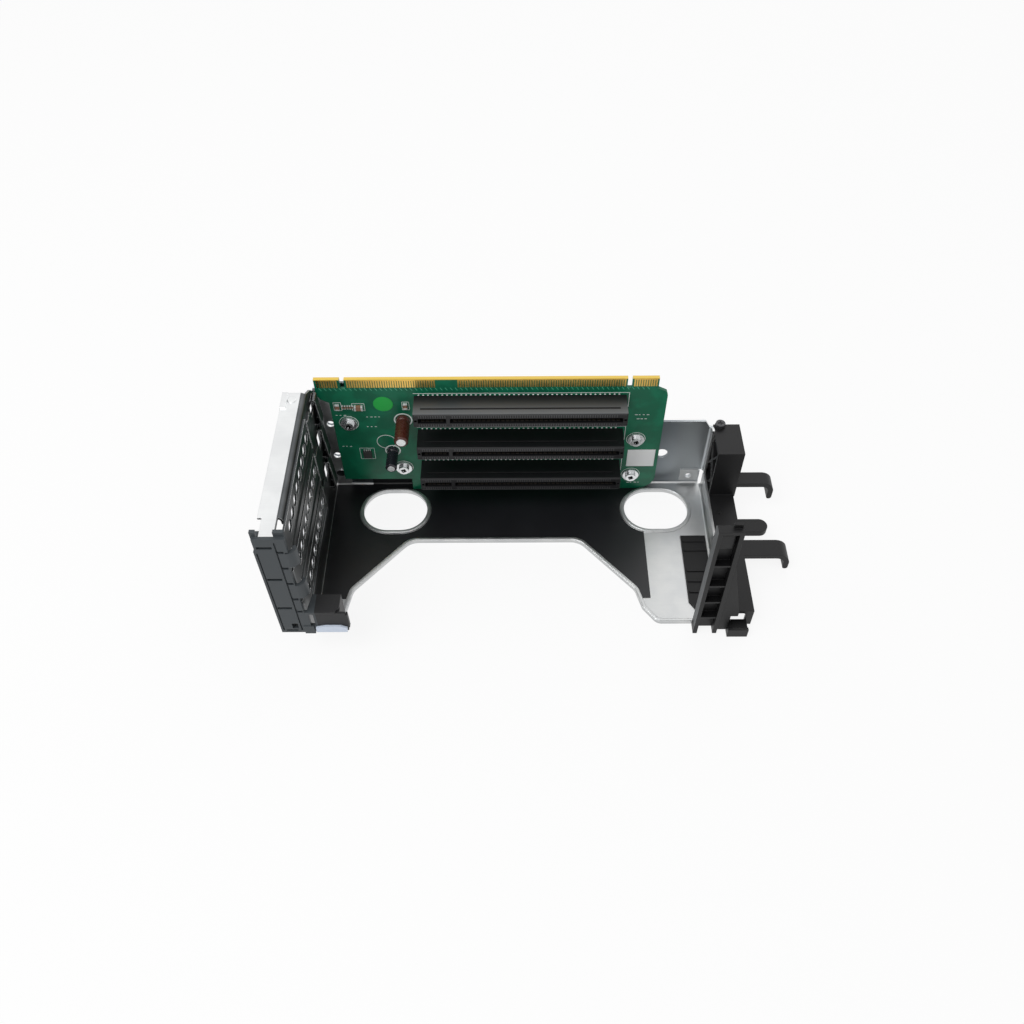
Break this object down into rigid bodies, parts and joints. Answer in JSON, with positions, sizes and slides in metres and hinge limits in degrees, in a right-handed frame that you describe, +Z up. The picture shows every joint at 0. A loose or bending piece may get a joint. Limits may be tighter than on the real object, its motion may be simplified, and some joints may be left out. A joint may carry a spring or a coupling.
{
  "type": "riser cage bracket",
  "caption": "Folded steel riser cage for a rack server: upright riser board with card connectors, port wall with blank covers and a swinging latch, moulded end bracket with cable hooks.",
  "frame": {"origin": "on the underside of the plate, below the middle of the card connectors, in the plane of the riser board's front face", "axes": "+X along the riser board from the port wall to the moulded bracket, +Y from the side where cards go in to the back wall, +Z up to the board's contact edge"},
  "size_m": [0.2126, 0.0944, 0.079],
  "materials": {
    "galvanised_steel": "satin galvanised sheet",
    "plated_steel": "satin nickel-plated sheet",
    "black_film": "smooth film",
    "green_board": "solder mask",
    "gold_contacts": "gold plated",
    "black_plastic": "moulded, satin",
    "brown_sleeve": "shrunk sleeve",
    "screw_steel": "bright",
    "tan_ceramic": "ceramic",
    "white_label": "paper label",
    "green_sticker": "paper sticker",
    "charcoal_plastic": "moulded, fine texture",
    "dark_screw": "blackened",
    "blue_plastic": "moulded"
  },
  "bodies": {
    "cage": {"base_tray": "galvanised_steel", "port_wall": "plated_steel", "wall_rivets": "galvanised_steel", "insulating_film": "black_film", "slot_cover_1": "plated_steel", "slot_cover_2": "plated_steel", "slot_cover_3": "plated_steel", "riser_board": "green_board", "edge_contacts": "gold_contacts", "slot_connector_1": "black_plastic", "slot_connector_2": "black_plastic", "slot_connector_3": "black_plastic", "slot_contacts_1": "gold_contacts", "slot_contacts_2": "gold_contacts", "slot_contacts_3": "gold_contacts", "brown_capacitor": "brown_sleeve", "black_capacitor": "black_plastic", "board_screws": "screw_steel", "board_standoffs": "screw_steel", "control_chip": "black_plastic", "chip_passives": "tan_ceramic", "board_label": "white_label", "round_sticker": "green_sticker", "end_bracket": "charcoal_plastic", "bracket_screw": "dark_screw"},
    "latch": {"card_latch": "charcoal_plastic", "latch_pin": "screw_steel", "touch_strip": "blue_plastic"}
  },
  "joints": [
    {"name": "latch_hinge", "type": "hinge", "parent": "cage", "child": "latch", "pos_m": [-0.09075, -0.0812, 0.073], "axis": [-1, 0, 0], "range_deg": [0, 90]}
  ]
}
